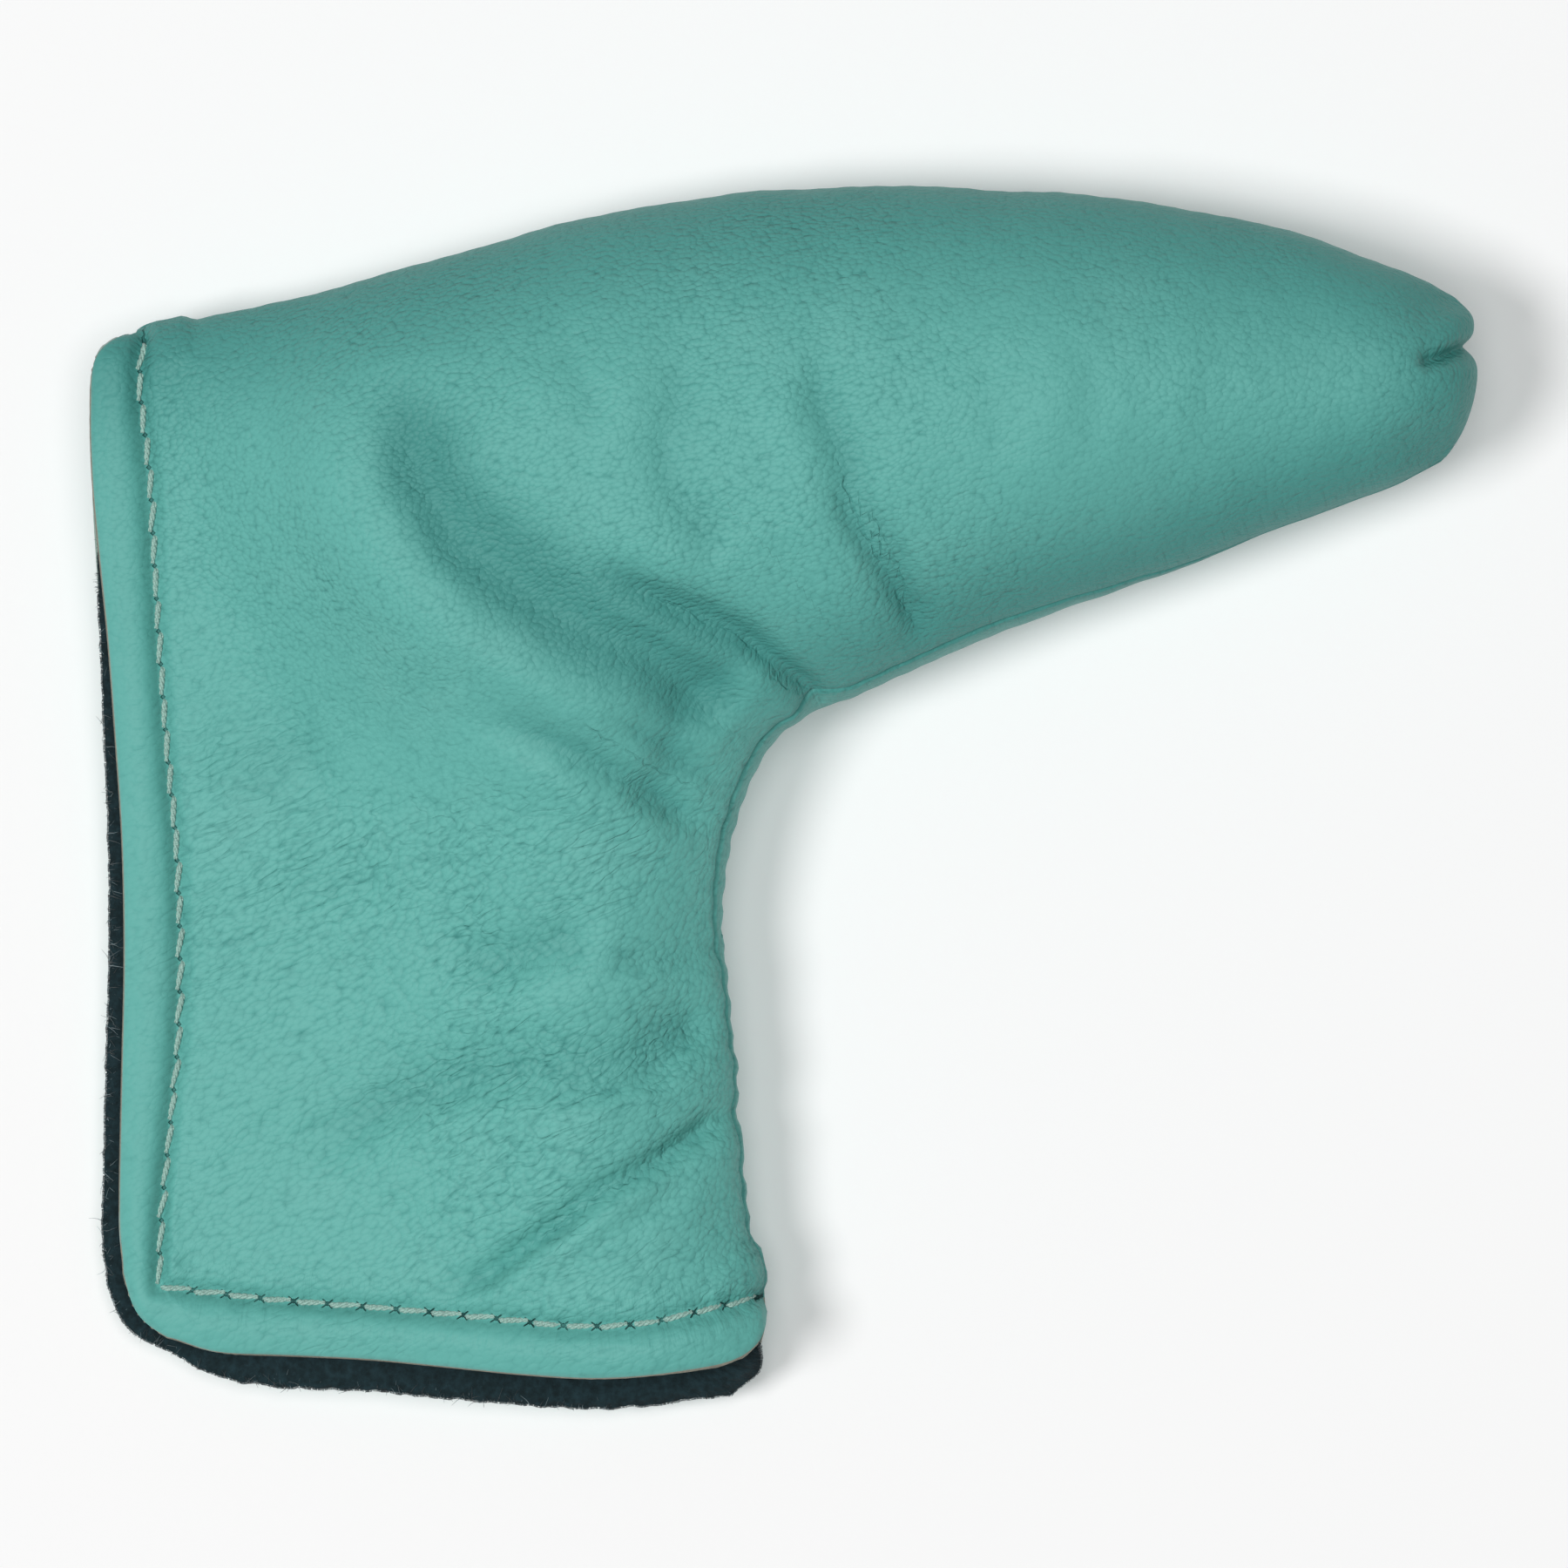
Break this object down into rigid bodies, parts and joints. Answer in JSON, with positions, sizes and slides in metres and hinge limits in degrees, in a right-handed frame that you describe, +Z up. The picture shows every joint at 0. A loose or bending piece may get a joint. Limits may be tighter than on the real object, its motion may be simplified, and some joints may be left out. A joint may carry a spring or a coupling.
{
  "type": "putter head cover",
  "caption": "Padded leather cover for a blade putter's head, an L-shaped lined pocket that opens along one side and the foot.",
  "frame": {"origin": "on the resting plane, under the middle of the cover's bounding box", "axes": "+X from the closure edge to the toe, +Y from the foot to the top of the head pocket, +Z up through the front panel, the cover lying on its back panel"},
  "size_m": [0.1592, 0.1402, 0.0385],
  "materials": {
    "leather": "smooth dyed grain leather, low sheen",
    "foam": "open-cell foam wadding",
    "fleece": "short dark fleece pile",
    "topstitch_thread": "bonded twisted thread",
    "seam_thread": "bonded twisted thread",
    "hook": "woven tape with moulded hooks",
    "loop": "brushed loop tape"
  },
  "bodies": {
    "sleeve": {"front_leather": "leather", "front_foam": "foam", "front_lining": "fleece", "front_edge_stitches": "topstitch_thread", "back_leather": "leather", "back_foam": "foam", "back_lining": "fleece", "back_edge_stitches": "topstitch_thread", "leather_seam_thread": "seam_thread", "lining_seam_thread": "seam_thread", "heel_bar_tack": "seam_thread", "mouth_bar_tack": "seam_thread"},
    "front_flap": {"front_flap_leather": "leather", "front_flap_foam": "foam", "front_flap_lining": "fleece", "front_flap_stitches": "topstitch_thread", "hook_tape": "hook", "hook_tape_stitches": "seam_thread"},
    "back_flap": {"back_flap_leather": "leather", "back_flap_foam": "foam", "back_flap_lining": "fleece", "back_flap_stitches": "topstitch_thread", "loop_tape": "loop", "loop_tape_stitches": "seam_thread"}
  },
  "joints": [
    {"name": "front_flap_fold", "type": "hinge", "parent": "sleeve", "child": "front_flap", "pos_m": [-0.0472, -0.0212, 0.0218], "axis": [-0.5649, 0.8252, 0], "range_deg": [0, 50], "stiffness_Nm_per_rad": 0.03, "springref_deg": -11.46},
    {"name": "back_flap_fold", "type": "hinge", "parent": "sleeve", "child": "back_flap", "pos_m": [-0.0478, -0.023, 0.0013], "axis": [0.5524, -0.8336, 0], "range_deg": [0, 40], "stiffness_Nm_per_rad": 0.05}
  ]
}
